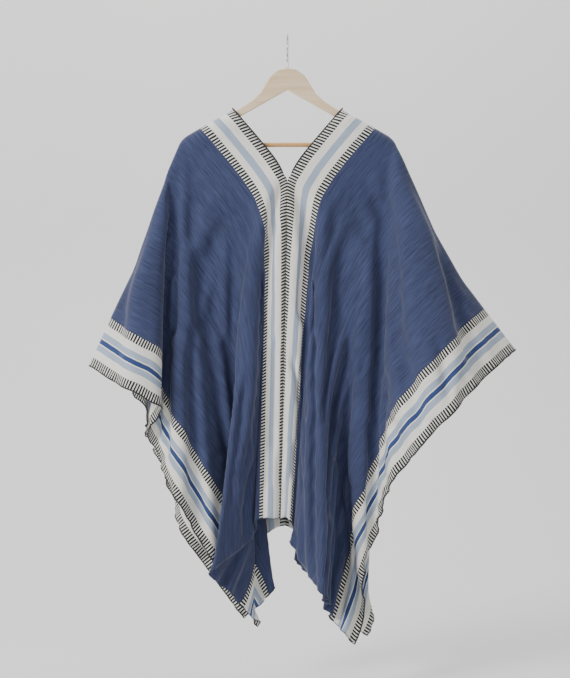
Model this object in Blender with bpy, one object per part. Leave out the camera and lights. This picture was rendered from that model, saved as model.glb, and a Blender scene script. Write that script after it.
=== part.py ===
"""Andean poncho on a wooden hanger.

Two long panels, woven with a border along both edges, hang over the hanger's arms. Each runs from
the front hem over the shoulder to the back hem. They are sewn together down the middle, front and
back, below a neck slit. The origin is inside the top of the hook's bend, +Z is up, +X is the
viewer's right and -Y is the front.
"""
import math

import bmesh
import bpy
import numpy as np
from mathutils import Matrix, Vector
from mathutils.geometry import delaunay_2d_cdt

MM = 0.001
GAP = 0.3 * MM                  # between pieces that are sewn together
WALL = 2.4 * MM                 # blanket-weight cloth
BINDING_WALL = 2.6 * MM
BINDING_WIDTH = 4.5 * MM
EDGE_BINDING_WIDTH = 3.0 * MM   # narrower, because the side edges twist
EDGE_BINDING_GAP = 0.6 * MM

PANEL_WIDTH = 655 * MM          # across one panel, from the centre seam to the side edge
PANEL_DROP = 935 * MM           # down one panel, from the shoulder fold to a hem
SLIT = 185 * MM                 # from the shoulder fold to the end of the neck slit
ARM_RUN = 125 * MM              # across a panel, from the neck edge to the arm's end

COLUMNS = 18                    # cells across a panel
SHOULDER_ROWS = (0, 5, 12, 25, 50, 90, 135, 185)
DROP_ROWS = 20                  # cells from the end of the slit to the hem
SMOOTHING = 4                   # rounds that soften the folds
FOLD_OVER_ARM = 9 * MM          # half the space between front and back over the hanger's arm
FOLD_FREE = 4.5 * MM            # and over the shoulder fold beyond it

HANGER_DEPTH = 12 * MM
HANGER_ROUNDING = 3 * MM
BAR_RADIUS = 5 * MM
BAR_HEIGHT = -236 * MM
ARM_END = 219 * MM
BAR_SEAT = 200 * MM             # the inner face of an arm's end, where the bar is let in
HOOK_WIRE = 1.8 * MM
HOOK_RADIUS = 18.8 * MM         # to the middle of the wire

# Where the cloth lies. A mark's place on the flat panel is "across" from the centre seam and
# "down" from the shoulder fold. Its place as hung is x, y, z. All are in millimetres.
#    mark              across  down     x     y      z
LEFT_SHOULDER = (
    ("neck",               0,    0, -120,    0,  -158),
    ("arm end",          125,    0, -230,    0,  -220),
    ("drop",             195,    0, -260,    0,  -290),
    ("sleeve middle",    405,    0, -325,    5,  -490),
    ("sleeve low",       550,    0, -385,    5,  -615),
    ("tip",              655,    0, -430,    5,  -715),
)
RIGHT_SHOULDER = (
    ("neck",               0,    0,  120,    0,  -158),
    ("arm end",          125,    0,  230,    0,  -220),
    ("sleeve upper",     330,    0,  310,    5,  -410),
    ("sleeve middle",    460,    0,  375,    5,  -525),
    ("tip",              655,    0,  495,    5,  -680),
)
LEFT_FRONT = LEFT_SHOULDER + (
    ("slit end",           0,  185,    0,  -15,  -300),
    ("stripe bend",       45,  185,  -35,  -15,  -325),
    ("border bend",       80,  185,  -65,  -15,  -335),
    ("tube head",        110,  175, -100,  -15,  -345),
    ("seam hem",           0,  935,  -15,   15, -1045),
    ("roll hem",           95,  935,  -80,  -22, -1045),
    ("valley hem",        190,  935,  -60,   20, -1075),
    ("tube inner hem",   280,  935, -112,  -30, -1120),
    ("tube outer hem",   380,  935, -175,  -80, -1155),
    ("tuck hem",          545,  935, -100,    0, -1235),
    ("corner",            655,  935,  -60,   28, -1285),
    ("valley head",      105,  325,  -55,    5,  -475),
    ("tube inner head",  130,  325,  -40,  -30,  -490),
    ("tuck",              485,  790,  -60,   35, -1070),
    ("tuck border",       545,  855,  -60,   32, -1165),
    ("edge low",         655,  725, -170,  -25, -1120),
    ("edge ridge",       655,  550, -245,  -50,  -985),
    ("edge valley",      655,  445, -280,   15,  -910),
    ("edge back",        655,  340, -305,  -10,  -850),
    ("edge front",       655,  230, -265,  -75,  -795),
    ("edge bulge",       655,  120, -360,  -80,  -755),
)
LEFT_FRONT_FOLDS = (
    ("slit end", "seam hem"), ("stripe bend", "roll hem"), ("border bend", "valley head"),
    ("valley head", "valley hem"), ("tube inner head", "tube inner hem"),
    ("tube head", "tube inner head"), ("tube head", "tube outer hem"), ("tube head", "tuck"),
    ("tuck", "tuck border"), ("tuck border", "corner"), ("arm end", "tube head"),
    ("arm end", "corner"), ("arm end", "edge low"), ("arm end", "edge ridge"),
    ("drop", "edge valley"), ("drop", "edge back"), ("drop", "edge front"),
    ("drop", "edge bulge"), ("slit end", "stripe bend"), ("stripe bend", "border bend"),
    ("border bend", "tube head"),
)
LEFT_BACK = LEFT_SHOULDER + (
    ("slit end",           0,  185,    0,   15,  -300),
    ("border bend",       80,  185,  -65,   20,  -340),
    ("fold head",        120,  175, -110,   20,  -345),
    ("seam hem",            0,  935,   -5,   70, -1070),
    ("first hem",         110,  935,  -90,   98, -1105),
    ("second hem",        215,  935,  -45,   88, -1130),
    ("third hem",         345,  935, -140,   80, -1165),
    ("fourth hem",        510,  935,  -15,   52, -1200),
    ("corner",            655,  935,  -95,   48, -1270),
    ("edge low",         655,  685, -235,   50, -1080),
    ("edge lower dip",   655,  580, -255,   85, -1005),
    ("edge middle",      655,  465, -275,   45,  -925),
    ("edge upper dip",   655,  325, -315,   80,  -855),
    ("edge upper",       655,  215, -305,   40,  -800),
    ("edge bulge",       655,  110, -370,   55,  -755),
)
LEFT_BACK_FOLDS = (
    ("slit end", "seam hem"), ("border bend", "first hem"), ("border bend", "second hem"),
    ("fold head", "third hem"), ("fold head", "fourth hem"), ("arm end", "fold head"),
    ("arm end", "corner"), ("arm end", "edge low"), ("arm end", "edge lower dip"),
    ("drop", "edge middle"), ("drop", "edge upper dip"), ("drop", "edge upper"),
    ("drop", "edge bulge"), ("slit end", "border bend"), ("border bend", "fold head"),
)
RIGHT_FRONT = RIGHT_SHOULDER + (
    ("slit end",           0,  185,    0,  -15,  -300),
    ("stripe bend",       15,  185,   15,  -15,  -310),
    ("border bend",       75,  185,   78,  -15,  -330),
    ("fold head",        140,  175,  125,  -10,  -360),
    ("seam hem",           0,  935,  -15,   15, -1045),
    ("inner hem",         50,  935,  -10,  -15, -1045),
    ("roll hem",          80,  935,   25,  -15, -1045),
    ("valley hem",       130,  935,   10,   20, -1075),
    ("tube inner hem",   185,  935,   10,  -15, -1120),
    ("crest hem",        335,  935,   75, -120, -1195),
    ("tube outer hem",   555,  935,   90,  -10, -1265),
    ("corner",           655,  935,  140,  -50, -1315),
    ("border turn",       75,  315,   55,   -5,  -465),
    ("valley head",       95,  315,   60,   10,  -475),
    ("tube inner head",  120,  315,   55,  -15,  -480),
    ("tube outer head",  125,  270,   70,  -15,  -445),
    ("tube ridge",       380,  650,   95,  -20,  -910),
    ("valley floor",     445,  690,  120,   15,  -965),
    ("wing fold",        510,  690,  130,  -35, -1005),
    ("valley low",       570,  805,  155,   15, -1135),
    ("edge front",       655,  770,  150,  -45, -1160),
    ("edge back",        655,  865,  175,  -10, -1250),
    ("edge hollow",      655,  650,  195,  -15, -1060),
    ("edge waist",       655,  540,  205,  -75,  -985),
    ("edge lower",       655,  465,  235, -110,  -930),
    ("edge bulge",       655,  330,  310, -150,  -845),
    ("edge upper",       655,  180,  395, -110,  -755),
)
RIGHT_FRONT_FOLDS = (
    ("slit end", "seam hem"), ("stripe bend", "inner hem"), ("border bend", "border turn"),
    ("border turn", "roll hem"), ("border bend", "valley head"), ("valley head", "valley hem"),
    ("tube inner head", "tube inner hem"), ("fold head", "tube outer head"),
    ("tube outer head", "tube ridge"), ("tube ridge", "tube outer hem"),
    ("tube outer head", "crest hem"), ("fold head", "valley floor"),
    ("valley floor", "valley low"), ("valley low", "edge back"), ("fold head", "wing fold"),
    ("wing fold", "edge front"), ("arm end", "fold head"), ("arm end", "edge front"),
    ("arm end", "edge hollow"), ("arm end", "edge waist"), ("arm end", "edge lower"),
    ("arm end", "edge bulge"), ("arm end", "edge upper"), ("slit end", "stripe bend"),
    ("stripe bend", "border bend"), ("border bend", "fold head"),
)
RIGHT_BACK = RIGHT_SHOULDER + (
    ("slit end",           0,  185,    0,   15,  -300),
    ("border bend",       80,  185,   85,   20,  -340),
    ("fold head",        120,  175,  125,   20,  -355),
    ("seam hem",            0,  935,   -5,   70, -1070),
    ("first hem",         110,  935,   65,   90, -1110),
    ("second hem",        255,  935,    5,   52, -1140),
    ("third hem",         380,  935,   75,   72, -1200),
    ("fourth hem",        510,  935,  105,   36, -1250),
    ("corner",           655,  935,  175,   55, -1305),
    ("edge turn",         655,  870,  197,   30, -1250),
    ("edge tuck",         655,  805,  150,   65, -1200),
    ("edge low",          655,  695,  158,  100, -1110),
    ("edge middle",       655,  570,  200,   20, -1020),
    ("edge dip",         655,  445,  240,   85,  -925),
    ("edge upper",       655,  305,  315,   50,  -840),
    ("edge bulge",       655,  165,  405,   85,  -755),
)
RIGHT_BACK_FOLDS = (
    ("slit end", "seam hem"), ("border bend", "first hem"), ("border bend", "second hem"),
    ("fold head", "third hem"), ("fold head", "fourth hem"), ("arm end", "fold head"),
    ("arm end", "corner"), ("arm end", "edge turn"), ("arm end", "edge tuck"),
    ("arm end", "edge low"), ("arm end", "edge middle"), ("arm end", "edge dip"),
    ("arm end", "edge upper"), ("arm end", "edge bulge"), ("slit end", "border bend"),
    ("border bend", "fold head"),
)

# Half of the hanger's upper outline, from the top of its head to the neck, as x, z in mm.
HEAD_OUTLINE = ((0, -70), (18, -73), (36, -85), (48, -103), (60, -124), (78, -141), (98, -154))
ARM_TOP_START = (116, -165)
ARM_SLOPE = 0.566               # drop for each unit of run
NOTCH_TOP = -117 * MM           # where the undersides of the two arms meet
END_DROP = -246 * MM            # the underside of an arm's end, below the bar


def make_material(name, colour, roughness, metallic=0.0):
    """A plain finish for one kind of piece."""
    material = bpy.data.materials.new(name)
    material.use_nodes = True
    shader = material.node_tree.nodes["Principled BSDF"]
    shader.inputs["Base Color"].default_value = (*colour, 1.0)
    shader.inputs["Roughness"].default_value = roughness
    shader.inputs["Metallic"].default_value = metallic
    material.diffuse_color = (*colour, 1.0)
    return material


def paper_model(marks, folds):
    """Flat facets between the marks: their corners on the flat panel, as hung, and the triples."""
    names = [mark[0] for mark in marks]
    flat = np.array([mark[1:3] for mark in marks]) * MM
    hung = np.array([mark[3:6] for mark in marks]) * MM
    edges = [(names.index(first), names.index(second)) for first, second in folds]
    corners = [Vector(point) for point in flat]
    _, _, facets, kept, _, _ = delaunay_2d_cdt(corners, edges, [], 0, 1e-6)
    order = [source[0] for source in kept]
    return flat, hung, [tuple(order[corner] for corner in facet) for facet in facets]


def hang(points, marks, folds):
    """The places as hung of points on the flat panel, each inside its facet."""
    flat, hung, facets = paper_model(marks, folds)
    placed = np.zeros((len(points), 3))
    for facet in facets:
        start, *ends = flat[list(facet)]
        sides = np.array([end - start for end in ends]).T
        if abs(np.linalg.det(sides)) < 1e-9:
            continue
        shares = (points - start) @ np.linalg.inv(sides).T
        weights = np.column_stack((1.0 - shares.sum(axis=1), shares))
        inside = (weights > -1e-6).all(axis=1)
        placed[inside] = weights[inside] @ hung[list(facet)]
    return placed


def panel_rows():
    """Distances down a panel, close together over the shoulder."""
    shoulder = [row * MM for row in SHOULDER_ROWS]
    step = (PANEL_DROP - SLIT) / DROP_ROWS
    return np.array(shoulder + [SLIT + step * (row + 1) for row in range(DROP_ROWS)])


def half_panel(marks, folds, side, front):
    """The middle surface of one panel's front or back, as rows of points from the shoulder down.

    The seam column keeps to the centre line, and the cloth opens round the hanger's arm.
    """
    rows = panel_rows()
    columns = np.linspace(0.0, PANEL_WIDTH, COLUMNS + 1)
    across, down = np.meshgrid(columns, rows)
    grid = hang(np.column_stack((across.ravel(), down.ravel())), marks, folds)
    grid = grid.reshape(len(rows), len(columns), 3)
    held = grid.copy()
    for _ in range(SMOOTHING):
        grid[:, 1:-1] = 0.5 * grid[:, 1:-1] + 0.25 * (grid[:, :-2] + grid[:, 2:])
        grid[5:-1] = 0.5 * grid[5:-1] + 0.25 * (grid[4:-2] + grid[6:])
        grid[:5] = held[:5]
    slit_row = len(SHOULDER_ROWS) - 1
    grid[slit_row:, 0] = held[slit_row:, 0]
    grid[slit_row:, 0, 0] += side * 0.5 * GAP
    spread = np.where(across < ARM_RUN, FOLD_OVER_ARM, FOLD_FREE)
    for _ in range(2):
        spread[:, 1:-1] = (spread[:, :-2] + spread[:, 1:-1] + spread[:, 2:]) / 3.0
    opening = spread * np.minimum(1.0, down / (12 * MM)) ** 0.4 * np.exp(-down / (400 * MM))
    grid[..., 1] += -opening if front else opening
    return grid


def cloth_normals(grid):
    """Unit normals of half a panel. On the centre seam and the shoulder fold they stay in the
    plane of the cut, so that the walls on its two sides never meet.
    """
    normals = np.cross(np.gradient(grid, axis=0), np.gradient(grid, axis=1))
    normals[len(SHOULDER_ROWS) - 1:, 0, 0] = 0.0
    normals[0, :, 1] = 0.0
    return normals / (np.linalg.norm(normals, axis=2, keepdims=True) + 1e-12)


def closed_wall(name, grid, normals, thickness, material, collection):
    """A closed solid from a grid of points on its middle surface and their normals."""
    outer = grid + 0.5 * thickness * normals
    inner = grid - 0.5 * thickness * normals
    rows, columns = grid.shape[:2]
    mesh = bmesh.new()
    faces = [[[mesh.verts.new(point) for point in row] for row in face] for face in (outer, inner)]
    top, bottom = faces
    for row in range(rows - 1):
        for column in range(columns - 1):
            cell = ((row, column), (row, column + 1), (row + 1, column + 1), (row + 1, column))
            mesh.faces.new([top[i][j] for i, j in cell])
            mesh.faces.new([bottom[i][j] for i, j in reversed(cell)])
    rim = [(0, column) for column in range(columns)]
    rim += [(row, columns - 1) for row in range(1, rows)]
    rim += [(rows - 1, column) for column in range(columns - 2, -1, -1)]
    rim += [(row, 0) for row in range(rows - 2, 0, -1)]
    for first, second in zip(rim, rim[1:] + rim[:1]):
        corners = (top[first[0]][first[1]], bottom[first[0]][first[1]],
                   bottom[second[0]][second[1]], top[second[0]][second[1]])
        mesh.faces.new(corners)
    bmesh.ops.recalc_face_normals(mesh, faces=mesh.faces)
    bmesh.ops.triangulate(mesh, faces=mesh.faces)
    return add_piece(name, mesh, material, collection, smooth=True)


def add_piece(name, mesh, material, collection, smooth):
    """An object from a finished bmesh, with its finish."""
    data = bpy.data.meshes.new(name)
    mesh.to_mesh(data)
    mesh.free()
    for polygon in data.polygons:
        polygon.use_smooth = smooth
    data.materials.append(material)
    piece = bpy.data.objects.new(name, data)
    collection.objects.link(piece)
    return piece


def build_binding(name, grid, normals, column, width, gap, finish, collection):
    """A dark binding past one edge of a panel, a gap away from it."""
    inner = 1 if column == 0 else -2
    edge = grid[:, column]
    outward = np.cross(np.gradient(edge, axis=0), normals[:, column])
    outward *= np.sign(np.sum(outward * (edge - grid[:, inner]), axis=1, keepdims=True))
    outward /= np.linalg.norm(outward, axis=1, keepdims=True)
    near = edge + outward * gap
    strip = np.stack((near, near + outward * width), axis=1)
    strip_normals = np.stack((normals[:, column], normals[:, column]), axis=1)
    closed_wall(name, strip, strip_normals, BINDING_WALL, finish, collection)


def build_cloth(collection, finishes):
    """The front and back of each panel, and the dark bindings on its two long edges."""
    slit_row = len(SHOULDER_ROWS) - 1
    sides = (
        ("left", -1, LEFT_FRONT, LEFT_FRONT_FOLDS, LEFT_BACK, LEFT_BACK_FOLDS),
        ("right", 1, RIGHT_FRONT, RIGHT_FRONT_FOLDS, RIGHT_BACK, RIGHT_BACK_FOLDS),
    )
    for name, side, front_marks, front_folds, back_marks, back_folds in sides:
        front = half_panel(front_marks, front_folds, side, True)
        back = half_panel(back_marks, back_folds, side, False)
        shoulder = 0.5 * (front[0] + back[0])
        for half, towards in ((front, -1), (back, 1)):
            half[0] = shoulder
            half[0, :, 1] += towards * (0.5 * GAP)
        front_normals = cloth_normals(front)
        back_normals = cloth_normals(back)
        closed_wall(f"{name}_panel_front", front, front_normals, WALL, finishes["cloth"], collection)
        closed_wall(f"{name}_panel_back", back, back_normals, WALL, finishes["cloth"], collection)
        whole = np.concatenate((front[:0:-1], back))
        normals = np.concatenate((-front_normals[:0:-1], back_normals))
        shoulder_row = len(front) - 1
        slit = slice(shoulder_row - slit_row + 1, shoulder_row + slit_row)
        build_binding(f"{name}_neck_binding", whole[slit], normals[slit], 0, BINDING_WIDTH, GAP,
                      finishes["binding"], collection)
        build_binding(f"{name}_edge_binding", whole[1:-1], normals[1:-1], -1, EDGE_BINDING_WIDTH,
                      EDGE_BINDING_GAP, finishes["binding"], collection)


def hanger_outline():
    """The outline of the wooden body, as x, z, clockwise from the top of the head."""
    right = [(x * MM, z * MM) for x, z in HEAD_OUTLINE]
    start_x, start_z = (value * MM for value in ARM_TOP_START)
    shoulder_x = ARM_END - 14 * MM
    shoulder_z = start_z - ARM_SLOPE * (shoulder_x - start_x)
    right += [(start_x, start_z), (shoulder_x, shoulder_z),
              (ARM_END - 4 * MM, shoulder_z - 8 * MM), (ARM_END, shoulder_z - 16 * MM),
              (ARM_END, END_DROP + 5 * MM), (ARM_END - 5 * MM, END_DROP), (BAR_SEAT, END_DROP),
              (BAR_SEAT, NOTCH_TOP - ARM_SLOPE * BAR_SEAT)]
    left = [(-x, z) for x, z in reversed(right) if x > 0.0]
    return right + [(0.0, NOTCH_TOP)] + left


def build_body(collection, finish):
    """The flat wooden body, cut from one board with rounded edges."""
    mesh = bmesh.new()
    corners = [mesh.verts.new((x, -0.5 * HANGER_DEPTH, z)) for x, z in hanger_outline()]
    board = mesh.faces.new(corners)
    grown = bmesh.ops.extrude_face_region(mesh, geom=[board])
    moved = [item for item in grown["geom"] if isinstance(item, bmesh.types.BMVert)]
    bmesh.ops.translate(mesh, verts=moved, vec=(0.0, HANGER_DEPTH, 0.0))
    bmesh.ops.recalc_face_normals(mesh, faces=mesh.faces)
    long_edges = [edge for edge in mesh.edges
                  if abs(edge.verts[0].co.y - edge.verts[1].co.y) < 1e-6]
    bmesh.ops.bevel(mesh, geom=long_edges, offset=HANGER_ROUNDING, offset_type="OFFSET",
                    segments=2, profile=0.5, affect="EDGES", material=-1)
    bmesh.ops.triangulate(mesh, faces=mesh.faces)
    return add_piece("hanger_body", mesh, finish, collection, smooth=True)


def build_bar(collection, finish):
    """The round bar between the arms' ends."""
    mesh = bmesh.new()
    place = Matrix.Translation((0.0, 0.0, BAR_HEIGHT)) @ Matrix.Rotation(math.pi / 2, 4, "Y")
    bmesh.ops.create_cone(mesh, cap_ends=True, segments=20, radius1=BAR_RADIUS,
                          radius2=BAR_RADIUS, depth=2.0 * (BAR_SEAT - GAP), matrix=place)
    bmesh.ops.triangulate(mesh, faces=mesh.faces)
    return add_piece("hanger_bar", mesh, finish, collection, smooth=True)


def hook_route():
    """The middle line of the hook's wire, from the wood to the free tip, in the plane x = 0."""
    centre = HOOK_WIRE - HOOK_RADIUS
    root = [(0.0, HEAD_OUTLINE[0][1] * MM + GAP), (0.0, centre - HOOK_RADIUS - 9 * MM),
            (3 * MM, centre - HOOK_RADIUS - 3 * MM)]
    steps = 16
    start, sweep = math.radians(-62), math.radians(255)
    arc = []
    for step in range(steps + 1):
        angle = start + sweep * step / steps
        arc.append((HOOK_RADIUS * math.cos(angle), centre + HOOK_RADIUS * math.sin(angle)))
    return root + arc


def build_hook(collection, finish):
    """The wire hook, standing on the head and open towards the front."""
    curve = bpy.data.curves.new("hanger_hook", "CURVE")
    curve.dimensions = "3D"
    curve.bevel_depth = HOOK_WIRE
    curve.bevel_resolution = 2
    curve.use_fill_caps = True
    route = hook_route()
    line = curve.splines.new("POLY")
    line.points.add(len(route) - 1)
    for point, (y, z) in zip(line.points, route):
        point.co = (0.0, y, z, 1.0)
    curve.materials.append(finish)
    hook = bpy.data.objects.new("hanger_hook", curve)
    collection.objects.link(hook)
    return hook


def main():
    """Build the poncho and its hanger in one collection."""
    for leftover in list(bpy.data.objects):
        bpy.data.objects.remove(leftover)
    collection = bpy.data.collections.new("andean_poncho")
    bpy.context.scene.collection.children.link(collection)
    finishes = {
        "cloth": make_material("blue_wool", (0.10, 0.16, 0.33), 0.95),
        "binding": make_material("black_wool", (0.02, 0.02, 0.025), 0.95),
        "wood": make_material("pale_wood", (0.80, 0.60, 0.38), 0.5),
        "bar": make_material("bar_wood", (0.72, 0.42, 0.18), 0.45),
        "wire": make_material("hook_wire", (0.62, 0.62, 0.64), 0.3, 1.0),
    }
    build_cloth(collection, finishes)
    build_body(collection, finishes["wood"])
    build_bar(collection, finishes["bar"])
    build_hook(collection, finishes["wire"])


main()
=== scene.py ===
"""Andean poncho on a wooden hanger, finished in wool, wood and wire.

Two long striped panels hang over the hanger's arms. Each is one woven length, from the front hem
over the shoulder to the back hem, with a laddered border along both long edges. They are sewn
together down the middle below a neck slit. The origin is inside the top of the hook's bend, +Z is
up, +X is the viewer's right and -Y is the front.
"""
import logging
import math
from dataclasses import dataclass
from enum import Enum
from typing import Any, Sequence

import bmesh
import bpy
import numpy as np
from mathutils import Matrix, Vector
from mathutils.geometry import delaunay_2d_cdt
from mathutils.kdtree import KDTree


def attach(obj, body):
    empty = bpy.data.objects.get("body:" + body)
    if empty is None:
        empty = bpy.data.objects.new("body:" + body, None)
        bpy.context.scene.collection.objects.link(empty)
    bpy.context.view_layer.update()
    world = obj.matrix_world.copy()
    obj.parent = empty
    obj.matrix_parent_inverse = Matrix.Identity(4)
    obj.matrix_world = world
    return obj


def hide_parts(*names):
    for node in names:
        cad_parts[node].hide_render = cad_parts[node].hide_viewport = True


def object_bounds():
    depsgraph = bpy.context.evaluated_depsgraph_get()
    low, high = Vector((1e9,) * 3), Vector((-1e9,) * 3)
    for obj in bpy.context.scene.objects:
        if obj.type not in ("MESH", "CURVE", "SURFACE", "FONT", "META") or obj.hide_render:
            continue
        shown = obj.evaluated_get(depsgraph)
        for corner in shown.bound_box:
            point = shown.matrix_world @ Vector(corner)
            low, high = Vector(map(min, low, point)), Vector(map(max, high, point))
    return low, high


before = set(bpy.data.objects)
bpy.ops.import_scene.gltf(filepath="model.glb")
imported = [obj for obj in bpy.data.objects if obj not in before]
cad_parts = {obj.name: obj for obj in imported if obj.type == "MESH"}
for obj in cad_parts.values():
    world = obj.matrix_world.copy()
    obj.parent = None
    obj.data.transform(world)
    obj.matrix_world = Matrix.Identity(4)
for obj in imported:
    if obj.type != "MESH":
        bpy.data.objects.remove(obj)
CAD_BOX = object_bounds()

LOG = logging.getLogger("poncho")
MM = 0.001
Colour = tuple[float, float, float]
Mark = tuple[str, float, float, float, float, float]

PANEL_WIDTH = 655 * MM          # across one panel, from the centre seam to the side edge
PANEL_DROP = 935 * MM           # down one panel, from the shoulder fold to a hem
SLIT = 185 * MM                 # from the shoulder fold to the end of the neck slit
ARM_RUN = 125 * MM              # across a panel, from the neck edge to the arm's end
WALL = 2.2 * MM                 # thickness of the cloth
SEAM_GAP = 0.3 * MM

# Where the cloth lies. A mark's place on the flat panel is "across" from the centre seam and
# "down" from the shoulder fold. Its place as hung is x, y, z. All are in millimetres.
#    mark              across  down     x     y      z
LEFT_SHOULDER = (
    ("neck",               0,    0, -120,    0,  -158),
    ("arm end",          125,    0, -230,    0,  -220),
    ("drop",             195,    0, -260,    0,  -290),
    ("sleeve middle",    405,    0, -325,    5,  -490),
    ("sleeve low",       550,    0, -385,    5,  -615),
    ("tip",              655,    0, -430,    5,  -715),
)
RIGHT_SHOULDER = (
    ("neck",               0,    0,  120,    0,  -158),
    ("arm end",          125,    0,  230,    0,  -220),
    ("sleeve upper",     330,    0,  310,    5,  -410),
    ("sleeve middle",    460,    0,  375,    5,  -525),
    ("tip",              655,    0,  495,    5,  -680),
)
LEFT_FRONT = LEFT_SHOULDER + (
    ("slit end",           0,  185,    0,  -15,  -300),
    ("stripe bend",       45,  185,  -35,  -15,  -325),
    ("border bend",       80,  185,  -65,  -15,  -335),
    ("tube head",        110,  175, -100,  -15,  -345),
    ("seam hem",           0,  935,  -15,   15, -1045),
    ("roll hem",           95,  935,  -80,  -22, -1045),
    ("valley hem",        190,  935,  -60,   20, -1075),
    ("tube inner hem",   280,  935, -112,  -30, -1120),
    ("tube outer hem",   380,  935, -175,  -80, -1155),
    ("tuck hem",          545,  935, -100,    0, -1235),
    ("corner",            655,  935,  -60,   28, -1285),
    ("valley head",      105,  325,  -55,    5,  -475),
    ("tube inner head",  130,  325,  -40,  -30,  -490),
    ("tuck",              485,  790,  -60,   35, -1070),
    ("tuck border",       545,  855,  -60,   32, -1165),
    ("edge low",         655,  725, -170,  -25, -1120),
    ("edge ridge",       655,  550, -245,  -50,  -985),
    ("edge valley",      655,  445, -280,   15,  -910),
    ("edge back",        655,  340, -305,  -10,  -850),
    ("edge front",       655,  230, -265,  -75,  -795),
    ("edge bulge",       655,  120, -360,  -80,  -755),
)
LEFT_FRONT_FOLDS = (
    ("slit end", "seam hem"), ("stripe bend", "roll hem"), ("border bend", "valley head"),
    ("valley head", "valley hem"), ("tube inner head", "tube inner hem"),
    ("tube head", "tube inner head"), ("tube head", "tube outer hem"), ("tube head", "tuck"),
    ("tuck", "tuck border"), ("tuck border", "corner"), ("arm end", "tube head"),
    ("arm end", "corner"), ("arm end", "edge low"), ("arm end", "edge ridge"),
    ("drop", "edge valley"), ("drop", "edge back"), ("drop", "edge front"),
    ("drop", "edge bulge"), ("slit end", "stripe bend"), ("stripe bend", "border bend"),
    ("border bend", "tube head"),
)
LEFT_BACK = LEFT_SHOULDER + (
    ("slit end",           0,  185,    0,   15,  -300),
    ("border bend",       80,  185,  -65,   20,  -340),
    ("fold head",        120,  175, -110,   20,  -345),
    ("seam hem",            0,  935,   -5,   70, -1070),
    ("first hem",         110,  935,  -90,   98, -1105),
    ("second hem",        215,  935,  -45,   88, -1130),
    ("third hem",         345,  935, -140,   80, -1165),
    ("fourth hem",        510,  935,  -15,   52, -1200),
    ("corner",            655,  935,  -95,   48, -1270),
    ("edge low",         655,  685, -235,   50, -1080),
    ("edge lower dip",   655,  580, -255,   85, -1005),
    ("edge middle",      655,  465, -275,   45,  -925),
    ("edge upper dip",   655,  325, -315,   80,  -855),
    ("edge upper",       655,  215, -305,   40,  -800),
    ("edge bulge",       655,  110, -370,   55,  -755),
)
LEFT_BACK_FOLDS = (
    ("slit end", "seam hem"), ("border bend", "first hem"), ("border bend", "second hem"),
    ("fold head", "third hem"), ("fold head", "fourth hem"), ("arm end", "fold head"),
    ("arm end", "corner"), ("arm end", "edge low"), ("arm end", "edge lower dip"),
    ("drop", "edge middle"), ("drop", "edge upper dip"), ("drop", "edge upper"),
    ("drop", "edge bulge"), ("slit end", "border bend"), ("border bend", "fold head"),
)
RIGHT_FRONT = RIGHT_SHOULDER + (
    ("slit end",           0,  185,    0,  -15,  -300),
    ("stripe bend",       15,  185,   15,  -15,  -310),
    ("border bend",       75,  185,   78,  -15,  -330),
    ("fold head",        140,  175,  125,  -10,  -360),
    ("seam hem",           0,  935,  -15,   15, -1045),
    ("inner hem",         50,  935,  -10,  -15, -1045),
    ("roll hem",          80,  935,   25,  -15, -1045),
    ("valley hem",       130,  935,   10,   20, -1075),
    ("tube inner hem",   185,  935,   10,  -15, -1120),
    ("crest hem",        335,  935,   75, -120, -1195),
    ("tube outer hem",   555,  935,   90,  -10, -1265),
    ("corner",           655,  935,  140,  -50, -1315),
    ("border turn",       75,  315,   55,   -5,  -465),
    ("valley head",       95,  315,   60,   10,  -475),
    ("tube inner head",  120,  315,   55,  -15,  -480),
    ("tube outer head",  125,  270,   70,  -15,  -445),
    ("tube ridge",       380,  650,   95,  -20,  -910),
    ("valley floor",     445,  690,  120,   15,  -965),
    ("wing fold",        510,  690,  130,  -35, -1005),
    ("valley low",       570,  805,  155,   15, -1135),
    ("edge front",       655,  770,  150,  -45, -1160),
    ("edge back",        655,  865,  175,  -10, -1250),
    ("edge hollow",      655,  650,  195,  -15, -1060),
    ("edge waist",       655,  540,  205,  -75,  -985),
    ("edge lower",       655,  465,  235, -110,  -930),
    ("edge bulge",       655,  330,  310, -150,  -845),
    ("edge upper",       655,  180,  395, -110,  -755),
)
RIGHT_FRONT_FOLDS = (
    ("slit end", "seam hem"), ("stripe bend", "inner hem"), ("border bend", "border turn"),
    ("border turn", "roll hem"), ("border bend", "valley head"), ("valley head", "valley hem"),
    ("tube inner head", "tube inner hem"), ("fold head", "tube outer head"),
    ("tube outer head", "tube ridge"), ("tube ridge", "tube outer hem"),
    ("tube outer head", "crest hem"), ("fold head", "valley floor"),
    ("valley floor", "valley low"), ("valley low", "edge back"), ("fold head", "wing fold"),
    ("wing fold", "edge front"), ("arm end", "fold head"), ("arm end", "edge front"),
    ("arm end", "edge hollow"), ("arm end", "edge waist"), ("arm end", "edge lower"),
    ("arm end", "edge bulge"), ("arm end", "edge upper"), ("slit end", "stripe bend"),
    ("stripe bend", "border bend"), ("border bend", "fold head"),
)
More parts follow.
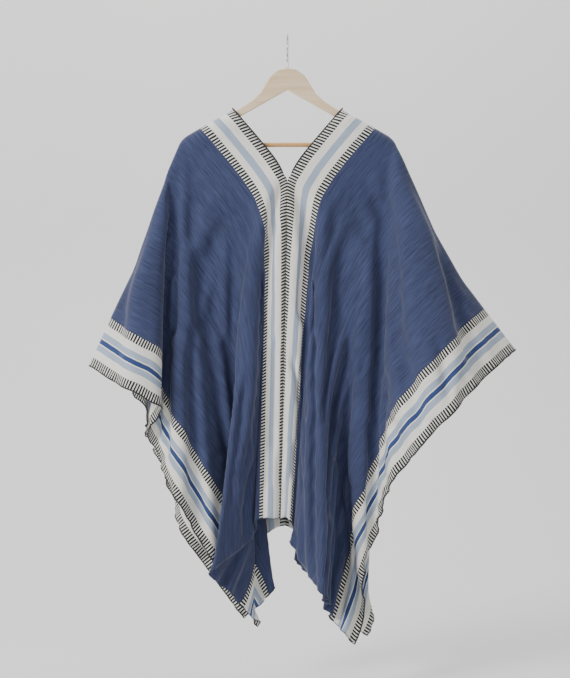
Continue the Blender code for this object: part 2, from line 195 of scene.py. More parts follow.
RIGHT_BACK = RIGHT_SHOULDER + (
    ("slit end",           0,  185,    0,   15,  -300),
    ("border bend",       80,  185,   85,   20,  -340),
    ("fold head",        120,  175,  125,   20,  -355),
    ("seam hem",            0,  935,   -5,   70, -1070),
    ("first hem",         110,  935,   65,   90, -1110),
    ("second hem",        255,  935,    5,   52, -1140),
    ("third hem",         380,  935,   75,   72, -1200),
    ("fourth hem",        510,  935,  105,   36, -1250),
    ("corner",           655,  935,  175,   55, -1305),
    ("edge turn",         655,  870,  197,   30, -1250),
    ("edge tuck",         655,  805,  150,   65, -1200),
    ("edge low",          655,  695,  158,  100, -1110),
    ("edge middle",       655,  570,  200,   20, -1020),
    ("edge dip",         655,  445,  240,   85,  -925),
    ("edge upper",       655,  305,  315,   50,  -840),
    ("edge bulge",       655,  165,  405,   85,  -755),
)
RIGHT_BACK_FOLDS = (
    ("slit end", "seam hem"), ("border bend", "first hem"), ("border bend", "second hem"),
    ("fold head", "third hem"), ("fold head", "fourth hem"), ("arm end", "fold head"),
    ("arm end", "corner"), ("arm end", "edge turn"), ("arm end", "edge tuck"),
    ("arm end", "edge low"), ("arm end", "edge middle"), ("arm end", "edge dip"),
    ("arm end", "edge upper"), ("arm end", "edge bulge"), ("slit end", "border bend"),
    ("border bend", "fold head"),
)


class Side(Enum):
    """The two panels, with the way that each one runs from the centre."""

    LEFT = -1
    RIGHT = 1

    @property
    def label(self) -> str:
        """The word for this side in the names of nodes and pieces."""
        return self.name.lower()


class Value:
    """A number in a material's nodes, which can be worked with as a Python number."""

    def __init__(self, graph: "Graph", socket: Any) -> None:
        """Hold one output socket of a graph."""
        self.graph = graph
        self.socket = socket

    def maths(self, operation: str, *others: Any) -> "Value":
        """Pass this value and others through a Math node."""
        sockets = dict(enumerate((self, *others)))
        return self.graph.value("ShaderNodeMath", {"operation": operation}, sockets)

    def __add__(self, other: Any) -> "Value":
        """Sum."""
        return self.maths("ADD", other)

    def __sub__(self, other: Any) -> "Value":
        """Difference."""
        return self.maths("SUBTRACT", other)

    def __mul__(self, other: Any) -> "Value":
        """Product."""
        return self.maths("MULTIPLY", other)

    def __radd__(self, other: float) -> "Value":
        """Sum with a plain number in front."""
        return self.maths("ADD", other)

    def __rmul__(self, other: float) -> "Value":
        """Product with a plain number in front."""
        return self.maths("MULTIPLY", other)

    def __rsub__(self, other: float) -> "Value":
        """Difference from a plain number."""
        return self.graph.value("ShaderNodeMath", {"operation": "SUBTRACT"}, {0: other, 1: self})

    def step(self, low: float, high: float) -> "Value":
        """Rise smoothly.

        Args:
            low: where the result leaves 0.
            high: where it reaches 1.

        Returns:
            The result.
        """
        return self.graph.value("ShaderNodeMapRange", {"interpolation_type": "SMOOTHSTEP"},
                                {"Value": self, "From Min": low, "From Max": high})

    def band(self, low: float, high: float, soft: float) -> "Value":
        """Pick out a stripe.

        Args:
            low: where it starts.
            high: where it ends.
            soft: half the width of its blurred ends.

        Returns:
            1 in the stripe and 0 outside.
        """
        return self.step(low - soft, low + soft) * (1.0 - self.step(high - soft, high + soft))


class Graph:
    """The nodes of one material."""

    def __init__(self, name: str) -> None:
        """Start an empty material with one shader."""
        self.material = bpy.data.materials.new(name)
        self.material.use_nodes = True
        self.tree = self.material.node_tree
        self.shader = self.tree.nodes["Principled BSDF"]

    def node(self, kind: str, settings: dict[str, Any], sockets: dict[Any, Any]) -> Any:
        """Add a node.

        Args:
            kind: the node's type.
            settings: its properties, and the stops of a ramp under "stops".
            sockets: a value, or something to link, for each named or numbered input.

        Returns:
            The node.
        """
        made = self.tree.nodes.new(kind)
        for name, setting in settings.items():
            if name != "stops":
                setattr(made, name, setting)
        for number, (place, colour) in enumerate(settings.get("stops", ())):
            elements = made.color_ramp.elements
            stop = elements[number] if number < 2 else elements.new(place)
            stop.position = place
            stop.color = (*colour, 1.0)
        for name, value in sockets.items():
            self.feed(made.inputs[name], value)
        return made

    def feed(self, socket: Any, value: Any) -> None:
        """Set an input socket to a constant, or link something to it."""
        if isinstance(value, Value):
            self.tree.links.new(value.socket, socket)
        elif isinstance(value, bpy.types.NodeSocket):
            self.tree.links.new(value, socket)
        else:
            socket.default_value = value

    def value(self, kind: str, settings: dict[str, Any], sockets: dict[Any, Any]) -> Value:
        """Add a node and take its first number output."""
        return Value(self, self.node(kind, settings, sockets).outputs[0])

    def noise(self, place: Any, scale: float, detail: float = 2.0) -> Value:
        """Add soft random variation.

        Args:
            place: the vector that it varies over.
            scale: how fine it is.
            detail: how many finer layers it has.

        Returns:
            A value from 0 to 1.
        """
        return self.value("ShaderNodeTexNoise", {}, {"Vector": place, "Scale": scale,
                                                     "Detail": detail})

    def vector(self, x: Any, y: Any, z: Any = 0.0) -> Any:
        """Join three numbers into a vector."""
        return self.node("ShaderNodeCombineXYZ", {}, {0: x, 1: y, 2: z}).outputs[0]

    def mix(self, share: Any, first: Any, second: Any, blend: str = "MIX") -> Any:
        """Mix two colours."""
        settings = {"data_type": "RGBA", "blend_type": blend}
        return self.node("ShaderNodeMix", settings, {0: share, 6: first, 7: second}).outputs[2]

    def bump(self, height: Value, distance: float, strength: float) -> None:
        """Raise the surface.

        Args:
            height: a share of the distance.
            distance: the height that a share of 1 stands for.
            strength: how much of it shows.
        """
        made = self.node("ShaderNodeBump", {}, {"Height": height, "Distance": distance,
                                               "Strength": strength})
        self.feed(self.shader.inputs["Normal"], made.outputs[0])

    def surface(self, colour: Any, roughness: Any, **constants: float) -> None:
        """Feed the shader.

        Args:
            colour: a constant or a link.
            roughness: a constant or a link.
            constants: other sockets, by name with underscores for spaces.
        """
        self.feed(self.shader.inputs["Base Color"], colour)
        self.feed(self.shader.inputs["Roughness"], roughness)
        for name, value in constants.items():
            self.shader.inputs[name.replace("_", " ").title()].default_value = value


@dataclass(frozen=True)
class StripedWool:
    """Warp-faced blanket cloth: a heathered field, and a laddered border at each long edge."""

    denim: Colour = (0.041, 0.054, 0.132)
    dusk: Colour = (0.022, 0.030, 0.080)
    cream: Colour = (0.88, 0.86, 0.79)
    sky: Colour = (0.37, 0.44, 0.56)
    navy: Colour = (0.026, 0.055, 0.185)
    black: Colour = (0.010, 0.010, 0.013)
    rung: float = 7.0 * MM          # from one black bar of a ladder to the next
    waver: float = 1.2 * MM
    neck_border: float = 82 * MM
    side_border: float = 111 * MM
    edge_ladder: float = 18.5 * MM  # the ladder along each edge of the cloth
    neck_ladder: float = 66 * MM    # where the ladder inside the neck border starts
    side_ladder: float = 93 * MM    # where the one inside the side border ends
    overrun: float = 5 * MM         # how far an edge ladder runs on, past the cloth's edge
    soft: float = 0.3 * MM          # the blur at the edge of a stripe

    def stops(self) -> list[tuple[float, Colour]]:
        """The stripes across a panel, each from its start as a share of the width."""
        neck = ((0.0, self.cream), (34.5, self.sky), (50.0, self.cream), (82.0, self.denim))
        side = ((111.0, self.cream), (78.0, self.sky), (65.0, self.cream), (62.0, self.navy),
                (53.0, self.cream), (50.0, self.sky), (36.0, self.cream))
        width = PANEL_WIDTH / MM
        return ([(start / width, colour) for start, colour in neck]
                + [(1.0 - start / width, colour) for start, colour in side])

    def build(self) -> bpy.types.Material:
        """Make the material. Its UV map gives metres across and along the panel."""
        graph = Graph("striped_wool")
        uv = graph.node("ShaderNodeTexCoord", {}, {}).outputs["UV"]
        parts = graph.node("ShaderNodeSeparateXYZ", {}, {0: uv})
        across, along = Value(graph, parts.outputs[0]), Value(graph, parts.outputs[1])
        drift = graph.noise(graph.vector(across * 40.0, along * 60.0), 1.0) - 0.5
        place = across + drift * self.waver
        ramp = graph.node("ShaderNodeValToRGB", {"stops": self.stops()},
                          {0: place * (1.0 / PANEL_WIDTH)})
        ramp.color_ramp.interpolation = "CONSTANT"
        streaks = graph.noise(graph.vector(across * 900.0, along * 26.0), 1.0, 3.0)
        lines = graph.noise(graph.vector(across * 210.0, along * 1.4), 1.0, 2.0)
        cloud = graph.noise(uv, 5.0, 2.0)
        field = place.band(self.neck_border, PANEL_WIDTH - self.side_border, self.soft)
        depth = (streaks * 0.55 + lines * 0.30 + cloud * 0.15).step(0.36, 0.64)
        heather = graph.mix(depth, (*self.dusk, 1.0), (*[c * 1.16 for c in self.denim], 1.0))
        cloth = graph.mix(field, ramp.outputs[0], heather)
        shade = graph.mix(streaks.step(0.3, 0.7), (0.80, 0.80, 0.80, 1.0), (1.06, 1.06, 1.06, 1.0))
        cloth = graph.mix(0.7, cloth, shade, "MULTIPLY")
        ladders = self.ladders(place)
        beat = (along + drift * 2.0 * MM) * (1.0 / self.rung)
        bars = beat.maths("PINGPONG", 0.5).step(0.15, 0.23)
        colour = graph.mix(ladders * bars, cloth, (*self.black, 1.0))
        warp = (across * (2.0 * math.pi / (2.1 * MM))).maths("SINE")
        weft = (along * (2.0 * math.pi / (1.7 * MM))).maths("SINE")
        relief = warp * 0.22 + weft * 0.12 + streaks * 0.9 + ladders * bars * 0.8
        graph.bump(relief, 0.35 * MM, 0.55)
        graph.surface(colour, 0.92 - streaks * 0.08, sheen_weight=0.22, sheen_roughness=0.45)
        return graph.material

    def ladders(self, place: Value) -> Value:
        """Find the four ladders.

        Args:
            place: the distance across the panel.

        Returns:
            1 on a ladder and 0 elsewhere.
        """
        edge = PANEL_WIDTH
        return (place.band(-self.overrun, self.edge_ladder, self.soft)
                + place.band(self.neck_ladder, self.neck_border, self.soft)
                + place.band(edge - self.side_border, edge - self.side_ladder, self.soft)
                + place.band(edge - self.edge_ladder, edge + self.overrun, self.soft))


@dataclass(frozen=True)
class Yarn:
    """Dark wool, laid round an edge in close turns."""

    name: str = "dark_yarn"
    colour: Colour = (0.010, 0.010, 0.012)
    fuzz: Colour = (0.035, 0.035, 0.040)
    turns: float = 2.6 * MM

    def build(self) -> bpy.types.Material:
        """Make the material from Object coordinates."""
        graph = Graph(self.name)
        place = graph.node("ShaderNodeTexCoord", {}, {}).outputs["Object"]
        parts = graph.node("ShaderNodeSeparateXYZ", {}, {0: place})
        run = Value(graph, parts.outputs[2]) + Value(graph, parts.outputs[0]) * 0.6
        lay = (run * (2.0 * math.pi / self.turns)).maths("SINE")
        fuzz = graph.noise(place, 900.0, 2.0)
        colour = graph.mix(fuzz.step(0.35, 0.75), (*self.colour, 1.0), (*self.fuzz, 1.0))
        graph.bump(lay * 0.5 + fuzz, 0.5 * MM, 0.6)
        graph.surface(colour, 0.95 - fuzz * 0.1, sheen_weight=0.2)
        return graph.material


@dataclass(frozen=True)
class Timber:
    """Pale varnished wood with a fine straight grain."""

    name: str
    light: Colour
    dark: Colour

    def build(self) -> bpy.types.Material:
        """Make the material, its grain along X."""
        graph = Graph(self.name)
        place = graph.node("ShaderNodeTexCoord", {}, {}).outputs["Object"]
        parts = graph.node("ShaderNodeSeparateXYZ", {}, {0: place})
        x, y, z = (Value(graph, parts.outputs[axis]) for axis in range(3))
        bend = graph.noise(place, 9.0, 1.0) * 0.012
        grain = graph.noise(graph.vector(x * 14.0, y * 260.0, (z + bend) * 260.0), 1.0, 4.0)
        figure = graph.noise(graph.vector(x * 4.0, y * 40.0, (z + bend) * 55.0), 1.0, 2.0)
        tone = (grain * 0.55 + figure * 0.45).step(0.32, 0.68)
        colour = graph.mix(tone, (*self.dark, 1.0), (*self.light, 1.0))
        graph.bump(grain, 0.12 * MM, 0.4)
        graph.surface(colour, 0.30 + grain * 0.16, coat_weight=0.25, coat_roughness=0.25)
        return graph.material


@dataclass(frozen=True)
class Wire:
    """Drawn steel wire, dulled in patches."""

    colour: Colour = (0.46, 0.45, 0.43)

    def build(self) -> bpy.types.Material:
        """Make the material from Object coordinates."""
        graph = Graph("drawn_wire")
        place = graph.node("ShaderNodeTexCoord", {}, {}).outputs["Object"]
        patches = graph.noise(place, 160.0, 3.0)
        colour = graph.mix(patches.step(0.4, 0.7), (*self.colour, 1.0), (0.25, 0.22, 0.19, 1.0))
        graph.bump(graph.noise(place, 1400.0, 1.0), 0.06 * MM, 0.3)
        graph.surface(colour, 0.28 + patches * 0.25, metallic=1.0)
        return graph.material


@dataclass(frozen=True)
class Studio:
    """A pale floor that curves up behind, soft lamps, and the camera."""

    distance: float = 3.6
    view_width: float = 1.237       # seen at the poncho's plane
    eye: tuple[float, float] = (-0.0054, -0.6575)
    floor_drop: float = 0.10        # from the lowest hem to the floor
    half_width: float = 8.0         # of the floor and the backdrop
    front: float = -6.0
    flat_run: float = 7.5           # from the floor's front edge to the curve
    curve: float = 1.2
    backdrop_rise: float = 5.0      # above the curve

    def camera(self) -> None:
        """Look straight at the front, at the height of the poncho's middle."""
        data = bpy.data.cameras.new("camera")
        data.sensor_fit = "HORIZONTAL"
        data.sensor_width = 36.0
        data.lens = data.sensor_width * self.distance / self.view_width
        camera = bpy.data.objects.new("camera", data)
        camera.location = (self.eye[0], -self.distance, self.eye[1])
        camera.rotation_euler = (math.pi / 2, 0.0, 0.0)
        bpy.context.scene.collection.objects.link(camera)
        bpy.context.scene.camera = camera

    def stage(self) -> None:
        """A floor that turns up into a backdrop by a wide curve."""
        low = CAD_BOX[0].z - self.floor_drop
        mesh = bmesh.new()
        front = [mesh.verts.new((x, self.front, low)) for x in (-self.half_width, self.half_width)]
        edge = mesh.edges.new(front)
        reach = bmesh.ops.extrude_edge_only(mesh, edges=[edge])["geom"]
        ends = [item for item in reach if isinstance(item, bmesh.types.BMVert)]
        bmesh.ops.translate(mesh, verts=ends, vec=(0.0, self.flat_run, 0.0))
        turning = [item for item in reach if isinstance(item, bmesh.types.BMEdge)
                   and set(item.verts) == set(ends)]
        turned = bmesh.ops.spin(mesh, geom=turning + ends,
                                cent=(0.0, self.front + self.flat_run, low + self.curve),
                                axis=(1.0, 0.0, 0.0), angle=math.pi / 2, steps=24)["geom_last"]
        wall = bmesh.ops.extrude_edge_only(
            mesh, edges=[item for item in turned if isinstance(item, bmesh.types.BMEdge)])["geom"]
        tops = [item for item in wall if isinstance(item, bmesh.types.BMVert)]
        bmesh.ops.translate(mesh, verts=tops, vec=(0.0, 0.0, self.backdrop_rise))
        graph = Graph("pale_floor")
        place = graph.node("ShaderNodeTexCoord", {}, {}).outputs["Object"]
        tone = graph.noise(place, 1.5, 2.0)
        graph.surface(graph.mix(tone, (0.86, 0.86, 0.85, 1.0), (0.89, 0.89, 0.88, 1.0)), 0.9)
        finish_piece("floor", mesh, graph.material)

    def lamps(self) -> None:
        """A broad key lamp from the upper left, a fill lamp, and an even pale world."""
        centre = Vector((0.0, 0.0, self.eye[1]))
        backdrop = Vector((0.0, 2.7, -0.4))
        for name, place, target, size, power in (
                ("key", Vector((-3.1, -2.7, 1.3)), centre, 1.5, 175.0),
                ("fill", Vector((2.2, -3.6, 0.3)), centre, 2.6, 26.0),
                ("backdrop_lamp", Vector((0.0, 0.9, 3.2)), backdrop, 3.0, 150.0)):
            lamp = bpy.data.lights.new(name, "AREA")
            lamp.size = size
            lamp.energy = power
            holder = bpy.data.objects.new(name, lamp)
            holder.location = place
            holder.rotation_euler = (target - place).to_track_quat("-Z", "Y").to_euler()
            bpy.context.scene.collection.objects.link(holder)
        world = bpy.data.worlds.new("even_light")
        world.use_nodes = True
        world.node_tree.nodes["Background"].inputs["Color"].default_value = (0.95, 0.97, 1.0, 1.0)
        world.node_tree.nodes["Background"].inputs["Strength"].default_value = 0.32
        bpy.context.scene.world = world


def finish_piece(name: str, mesh: bmesh.types.BMesh, material: bpy.types.Material) -> Any:
    """Turn a bmesh into a smooth object with one material.

    Args:
        name: the piece's name.
        mesh: its finished bmesh, which is freed.
        material: its finish.

    Returns:
        The object, at the origin.
    """
    data = bpy.data.meshes.new(name)
    mesh.to_mesh(data)
    mesh.free()
    data.shade_smooth()
    data.materials.append(material)
    piece = bpy.data.objects.new(name, data)
    bpy.context.scene.collection.objects.link(piece)
    return piece


def soften(points: np.ndarray, axis: int, rounds: int) -> np.ndarray:
    """Average each point with its neighbours along one axis, the two ends held.

    Args:
        points: a grid of points or numbers.
        axis: 0 down the panel, 1 across it.
        rounds: how often it is done.

    Returns:
        The softened grid.
    """
    points = np.moveaxis(points.copy(), axis, 0)
    for _ in range(rounds):
        points[1:-1] = 0.5 * points[1:-1] + 0.25 * (points[:-2] + points[2:])
    return np.moveaxis(points, 0, axis)


def area_share(hung: np.ndarray) -> float:
    """The area of a grid of points, as a share of the panel's cut."""
    down, across = hung[1:, :-1] - hung[:-1, :-1], hung[:-1, 1:] - hung[:-1, :-1]
    cells = np.linalg.norm(np.cross(down, across), axis=2)
    return float(cells.sum() / (2.0 * PANEL_WIDTH * PANEL_DROP))


@dataclass(frozen=True)
class Link:
    """One kind of tie between grid points a fixed number of rows and columns apart."""

    rows: int
    columns: int
    least: float                    # the shortest it may be, as a share of its woven length
    most: float
    pull: float                     # how much of the error one pass takes out

    def tighten(self, hung: np.ndarray, flat: np.ndarray, free: np.ndarray) -> None:
        """Bring every tie of this kind towards its woven length, in place.

        Args:
            hung: the grid as hung, which is changed.
            flat: the same points on the loom.
            free: how freely each point moves, from 0 to 1.
        """
        first, second = self.ends(hung)
        loom_first, loom_second = self.ends(flat)
        free_first, free_second = self.ends(free)
        woven = np.linalg.norm(loom_second - loom_first, axis=2)
        step = second - first
        length = np.linalg.norm(step, axis=2) + 1e-9
        wanted = np.clip(length, self.least * woven, self.most * woven)
        share = np.maximum(free_first + free_second, 1e-9)
        move = step * (self.pull * (length - wanted) / length / share)[..., None]
        first += move * free_first[..., None]
        second -= move * free_second[..., None]

    def ends(self, grid: np.ndarray) -> tuple[np.ndarray, np.ndarray]:
        """Views of the two ends of every tie, over a grid of rows and columns."""
        down, across = self.rows, abs(self.columns)
        height, width = grid.shape[:2]
        if self.columns >= 0:
            return grid[:height - down, :width - across], grid[down:, across:]
        return grid[:height - down, across:], grid[down:, :width - across]


WOVEN = (Link(0, 1, 1.0, 1.0, 0.5), Link(1, 0, 1.0, 1.0, 0.5), Link(1, 1, 0.93, 1.05, 0.2),
         Link(1, -1, 0.93, 1.05, 0.2), Link(0, 2, 0.88, 1.0, 0.35), Link(2, 0, 0.97, 1.0, 0.35),
         Link(0, 4, 0.62, 1.0, 0.15), Link(4, 0, 0.94, 1.0, 0.2))
FOLD_SIZES = (4, 2, 1)          # in cells, from long folds to short ones
HOLD = (0.05, 0.004, 0.05)      # how firmly x, y and z keep to the guide
SAME_LAYER = 45 * MM            # points closer than this on the loom are on one layer
LAYER_SEARCH = 60               # neighbours looked at to find another layer
WAY_TO_NEXT = 0.49              # the share of the way to the next layer that a point may move
WALL_ALLOWED = 0.3              # the share of the cloth's thickness kept out of that
CELL_ALLOWED = 0.7              # the share of a cell by which two layers' points may be offset
DEPTH = (CAD_BOX[0].y - 8 * MM, CAD_BOX[1].y + 8 * MM)


def resample(grid: np.ndarray, rows: int, columns: int) -> np.ndarray:
    """Stretch a grid to another number of rows and columns.

    Args:
        grid: rows and columns of points or numbers.
        rows: how many rows it gets.
        columns: how many columns it gets.

    Returns:
        The new grid.
    """
    for axis, count in ((0, rows), (1, columns)):
        place = np.linspace(0.0, grid.shape[axis] - 1.0, count)
        low = np.minimum(place.astype(int), grid.shape[axis] - 2)
        share = (place - low).reshape([-1 if side == axis else 1 for side in range(3)])
        grid = (np.take(grid, low, axis) * (1.0 - share)
                + np.take(grid, low + 1, axis) * share)
    return grid


def clearance(guide: np.ndarray, flat: np.ndarray) -> np.ndarray:
    """How far each point may move, to keep it short of the next layer of cloth.

    In the narrowest folds a few cells can still meet.

    Args:
        guide: the grid as first hung, whose layers lie apart.
        flat: the same points on the loom.

    Returns:
        A distance for each point: a little under half of that to the nearest other layer.
    """
    points, loom = guide.reshape(-1, 3), flat.reshape(-1, 2)
    tree = KDTree(len(points))
    for number, point in enumerate(points):
        tree.insert(point, number)
    tree.balance()
    spacing = float(np.linalg.norm(loom[1] - loom[0]))
    room = np.empty(len(points))
    for number, point in enumerate(points):
        found = tree.find_n(point, LAYER_SEARCH)
        others = [distance for _, other, distance in found
                  if np.linalg.norm(loom[other] - loom[number]) > SAME_LAYER]
        nearest = others[0] if others else found[-1][2]
        room[number] = math.sqrt(max(nearest ** 2 - (CELL_ALLOWED * spacing) ** 2, 0.0))
    reach = np.where(room > WALL, WAY_TO_NEXT * (room - WALL_ALLOWED * WALL), 0.0)
    return reach.reshape(guide.shape[:2])


def take_up(guide: np.ndarray, flat: np.ndarray, free: np.ndarray, passes: int,
            side: int) -> np.ndarray:
    """Give a hung grid its woven lengths, from long folds down to short ones.

    Args:
        guide: the grid as first hung, a little short.
        flat: the same points on the loom.
        free: how freely each point moves, from 0 to 1.
        passes: how often the ties are tightened at each size of fold.
        side: -1 for the left panel and 1 for the right one, which keep to their own side.

    Returns:
        The grid, near the guide from the front and as deep as its length asks.
    """
    rows, columns = guide.shape[:2]
    room = clearance(guide, flat)[..., None]
    change = np.zeros((2, 2, 3))
    for coarse in FOLD_SIZES:
        height, width = (rows - 1) // coarse + 1, (columns - 1) // coarse + 1
        loom, loose = resample(flat, height, width), resample(free[..., None], height, width)
        near = resample(guide, height, width)
        hung = near + resample(change, height, width)
        keep = np.array(HOLD) * loose
        reach = resample(room, height, width)
        for _ in range(passes):
            for link in WOVEN:
                link.tighten(hung, loom, loose[..., 0])
            hung += (near - hung) * keep
            shift = hung - near
            length = np.linalg.norm(shift, axis=2, keepdims=True) + 1e-9
            hung = near + shift * np.minimum(1.0, reach / length)
            hung[..., 0] = side * np.maximum(side * hung[..., 0], side * hung[:, :1, 0])
            hung[..., 1] = np.clip(hung[..., 1], *DEPTH)
        change = hung - near
    return hung


@dataclass
class Half:
    """The front or the back of one panel: its marks, its folds and the side it lies on."""

    marks: Sequence[Mark]
    folds: Sequence[tuple[str, str]]
    side: Side
    front: bool
    over_arm: float = 9 * MM        # half the space that the cloth leaves over the arm
    over_edge: float = 4.5 * MM     # and over the shoulder fold beyond it
    crisp: float = 30 * MM          # from the shoulder fold, where folds aren't softened
    crisp_fade: float = 90 * MM
    parting: float = 12 * MM        # how soon front and back part below the shoulder fold
    parting_fade: float = 400 * MM

    def facets(self) -> tuple[np.ndarray, np.ndarray, list[tuple[int, ...]]]:
        """Join the marks into flat facets.

        Returns:
            The marks' places on the loom, those as hung, and each facet's three marks.
        """
        names = [mark[0] for mark in self.marks]
        flat = np.array([mark[1:3] for mark in self.marks]) * MM
        hung = np.array([mark[3:6] for mark in self.marks]) * MM
        edges = [(names.index(first), names.index(second)) for first, second in self.folds]
        corners = [Vector(point) for point in flat]
        _, _, triples, kept, _, _ = delaunay_2d_cdt(corners, edges, [], 0, 1e-6)
        order = [source[0] for source in kept]
        return flat, hung, [tuple(order[corner] for corner in triple) for triple in triples]

    def hang(self, across: np.ndarray, down: np.ndarray, rounds: int) -> np.ndarray:
        """The places as hung of a grid of points on the flat panel.

        Args:
            across: distances from the centre seam.
            down: distances from the shoulder fold.
            rounds: how often the folds are softened.

        Returns:
            An array of rows of x, y, z.
        """
        flat, hung, triples = self.facets()
        points = np.column_stack((across.ravel(), down.ravel()))
        placed = np.zeros((len(points), 3))
        for triple in triples:
            start, *ends = flat[list(triple)]
            sides = np.array([end - start for end in ends]).T
            if abs(np.linalg.det(sides)) < 1e-9:
                continue
            shares = (points - start) @ np.linalg.inv(sides).T
            weights = np.column_stack((1.0 - shares.sum(axis=1), shares))
            inside = (weights > -1e-6).all(axis=1)
            placed[inside] = weights[inside] @ hung[list(triple)]
        held = placed.reshape(*across.shape, 3)
        soft = soften(soften(held, 1, rounds), 0, rounds)
        share = np.clip((down - self.crisp) / self.crisp_fade, 0.0, 1.0)[..., None]
        grid = held * (1.0 - share) + soft * share
        sewn = down[:, 0] >= SLIT
        grid[sewn, 0] = held[sewn, 0]
        grid[sewn, 0, 0] += self.side.value * 0.5 * SEAM_GAP
        spread = np.where(across < ARM_RUN, self.over_arm, self.over_edge)
        spread = soften(spread, 1, 2 * rounds)
        parted = np.minimum(1.0, down / self.parting) ** 0.4
        opening = spread * parted * np.exp(-down / self.parting_fade)
        grid[..., 1] += -opening if self.front else opening
        return grid


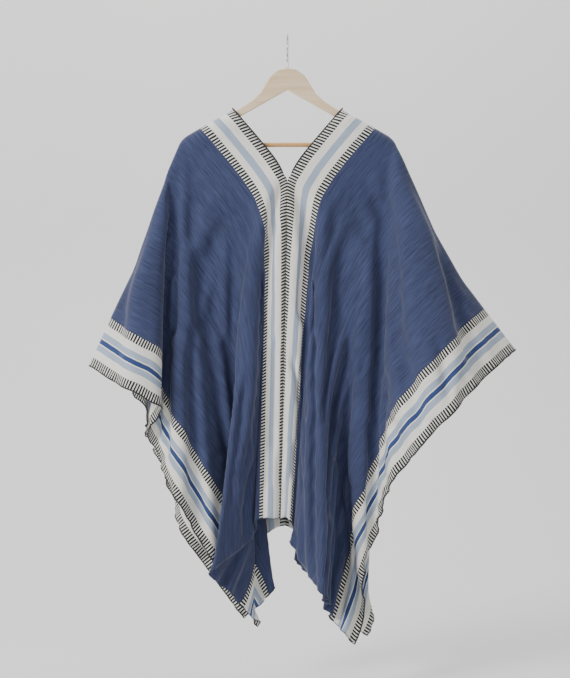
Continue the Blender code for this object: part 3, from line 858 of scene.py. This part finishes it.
@dataclass
class Panel:
    """One woven panel, hung over an arm, with its dark edge finishes."""

    side: Side
    front: Half
    back: Half
    wool: bpy.types.Material
    yarn: bpy.types.Material
    hem_yarn: bpy.types.Material
    cell: float = 13 * MM
    fold_rounds: int = 16
    passes: int = 240
    cord: float = 2.1 * MM
    edge_cord: float = 1.7 * MM
    hem_cord: float = 0.9 * MM
    held: float = 20 * MM           # from the shoulder fold, where the cloth can't shift
    held_fade: float = 120 * MM
    yoke: float = 40 * MM           # below the slit, where it shifts only a little
    yoke_shift: float = 0.3

    def places(self) -> tuple[np.ndarray, np.ndarray]:
        """Lay the whole panel out, from the front hem to the back hem.

        Returns:
            The grid on the loom and the same points as hung.
        """
        columns = round(PANEL_WIDTH / self.cell)
        rows = round(PANEL_DROP / self.cell)
        across, down = np.meshgrid(np.linspace(0.0, PANEL_WIDTH, columns + 1),
                                   np.linspace(0.0, PANEL_DROP, rows + 1))
        halves = [half.hang(across, down, self.fold_rounds) for half in (self.front, self.back)]
        halves[0][0] = halves[1][0] = 0.5 * (halves[0][0] + halves[1][0])
        hung = np.concatenate((halves[0][:0:-1], halves[1]))
        flat = np.stack((np.concatenate((across[:0:-1], across)),
                         np.concatenate((-down[:0:-1], down))), axis=2)
        along = np.abs(flat[..., 1])
        free = np.clip((along - self.held) / self.held_fade, 0.0, 1.0)
        free[(along < SLIT + self.yoke) & (flat[..., 0] < ARM_RUN)] *= self.yoke_shift
        free[:, 0] = 0.0
        LOG.info("%s panel: %.2f of its cut as first hung", self.side.label, area_share(hung))
        hung = take_up(hung, flat, free, self.passes, self.side.value)
        LOG.info("%s panel: %.2f of its cut once taken up", self.side.label, area_share(hung))
        return flat, hung

    def cloth(self, flat: np.ndarray, hung: np.ndarray) -> Any:
        """Make the panel itself, with its place on the loom as UV map.

        Args:
            flat: the grid on the loom.
            hung: the same points as hung.

        Returns:
            The piece, not yet thickened.
        """
        rows, columns = hung.shape[:2]
        mesh = bmesh.new()
        bmesh.ops.create_grid(mesh, x_segments=columns - 1, y_segments=rows - 1, size=0.5)
        mesh.verts.ensure_lookup_table()
        order = sorted(mesh.verts, key=lambda vert: (round(vert.co.y, 5), round(vert.co.x, 5)))
        loom = mesh.loops.layers.uv.new("loom")
        flat_of = {vert: place for vert, place in zip(order, flat.reshape(-1, 2))}
        for face in mesh.faces:
            for loop in face.loops:
                loop[loom].uv = flat_of[loop.vert]
        for vert, place in zip(order, hung.reshape(-1, 3)):
            vert.co = place
        if self.side is Side.RIGHT:
            bmesh.ops.reverse_faces(mesh, faces=mesh.faces)
        return finish_piece(f"{self.side.label}_panel", mesh, self.wool)

    @staticmethod
    def thicken(piece: Any) -> None:
        """Round the folds and give the cloth its thickness."""
        rounding = piece.modifiers.new("rounding", "SUBSURF")
        rounding.levels = rounding.render_levels = 1
        wall = piece.modifiers.new("wall", "SOLIDIFY")
        wall.thickness = WALL
        wall.offset = 0.0

    def corded(self, name: str, line: np.ndarray, inner: np.ndarray, radius: float,
               yarn: bpy.types.Material) -> Any:
        """A round dark finish along an edge of the cloth.

        Args:
            name: the piece's name.
            line: points along the edge.
            inner: the points one cell further into the cloth.
            radius: the finish's radius.
            yarn: its material.

        Returns:
            The piece.
        """
        outward = line - inner
        outward /= np.linalg.norm(outward, axis=1, keepdims=True) + 1e-12
        route = line + outward * (0.6 * radius)
        curve = bpy.data.curves.new(name, "CURVE")
        curve.dimensions = "3D"
        curve.bevel_depth = radius
        curve.bevel_resolution = 1
        curve.use_fill_caps = True
        spline = curve.splines.new("POLY")
        spline.points.add(len(route) - 1)
        for point, place in zip(spline.points, route):
            point.co = (*place, 1.0)
        curve.materials.append(yarn)
        holder = bpy.data.objects.new(name, curve)
        bpy.context.scene.collection.objects.link(holder)
        data = bpy.data.meshes.new_from_object(
            holder.evaluated_get(bpy.context.evaluated_depsgraph_get()))
        data.name = name
        bpy.data.objects.remove(holder)
        piece = bpy.data.objects.new(name, data)
        bpy.context.scene.collection.objects.link(piece)
        return piece

    def build(self) -> None:
        """Build the panel and its edges, and fix them to the frame."""
        label = self.side.label
        flat, hung = self.places()
        cloth = self.cloth(flat, hung)
        self.thicken(cloth)
        slit = np.abs(flat[:, 0, 1]) < SLIT
        neck = self.corded(f"{label}_neck_edge", hung[slit, 0], hung[slit, 1], self.cord, self.yarn)
        edge = self.corded(f"{label}_side_edge", hung[:, -1], hung[:, -2], self.edge_cord,
                           self.yarn)
        hems = [self.corded(f"{label}_{word}_hem", hung[row], hung[inner], self.hem_cord,
                            self.hem_yarn)
                for word, row, inner in (("front", 0, 1), ("back", -1, -2))]
        for piece in (cloth, neck, edge, *hems):
            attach(piece, "root")
        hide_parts(f"{label}_panel_front", f"{label}_panel_back")
        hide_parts(f"{label}_neck_binding")
        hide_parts(f"{label}_edge_binding")
        LOG.info("%s panel: %d points", label, hung.shape[0] * hung.shape[1])


@dataclass
class Hanger:
    """The wooden body, the round bar and the wire hook, which keep their own solids."""

    body: Timber = Timber("pale_beech", (0.88, 0.70, 0.48), (0.76, 0.55, 0.33))
    bar: Timber = Timber("warm_beech", (0.74, 0.42, 0.17), (0.58, 0.29, 0.10))
    hook: Wire = Wire()

    def dress(self) -> None:
        """Give each solid its finish."""
        for node, finish in (("hanger_body", self.body), ("hanger_bar", self.bar),
                             ("hanger_hook", self.hook)):
            bpy.data.objects[node].data.materials[0] = finish.build()
            LOG.info("dressed %s", node)


def main() -> None:
    """Build the stage, the poncho and its hanger."""
    studio = Studio()
    studio.camera()
    studio.stage()
    studio.lamps()
    wool, yarn = StripedWool().build(), Yarn().build()
    hem_yarn = Yarn("hem_yarn", (0.014, 0.018, 0.045), (0.035, 0.045, 0.105)).build()
    for side, front, front_folds, back, back_folds in (
            (Side.LEFT, LEFT_FRONT, LEFT_FRONT_FOLDS, LEFT_BACK, LEFT_BACK_FOLDS),
            (Side.RIGHT, RIGHT_FRONT, RIGHT_FRONT_FOLDS, RIGHT_BACK, RIGHT_BACK_FOLDS)):
        Panel(side, Half(front, front_folds, side, True), Half(back, back_folds, side, False),
              wool, yarn, hem_yarn).build()
    Hanger().dress()


if __name__ == "__main__":
    logging.basicConfig(level=logging.INFO)
    main()
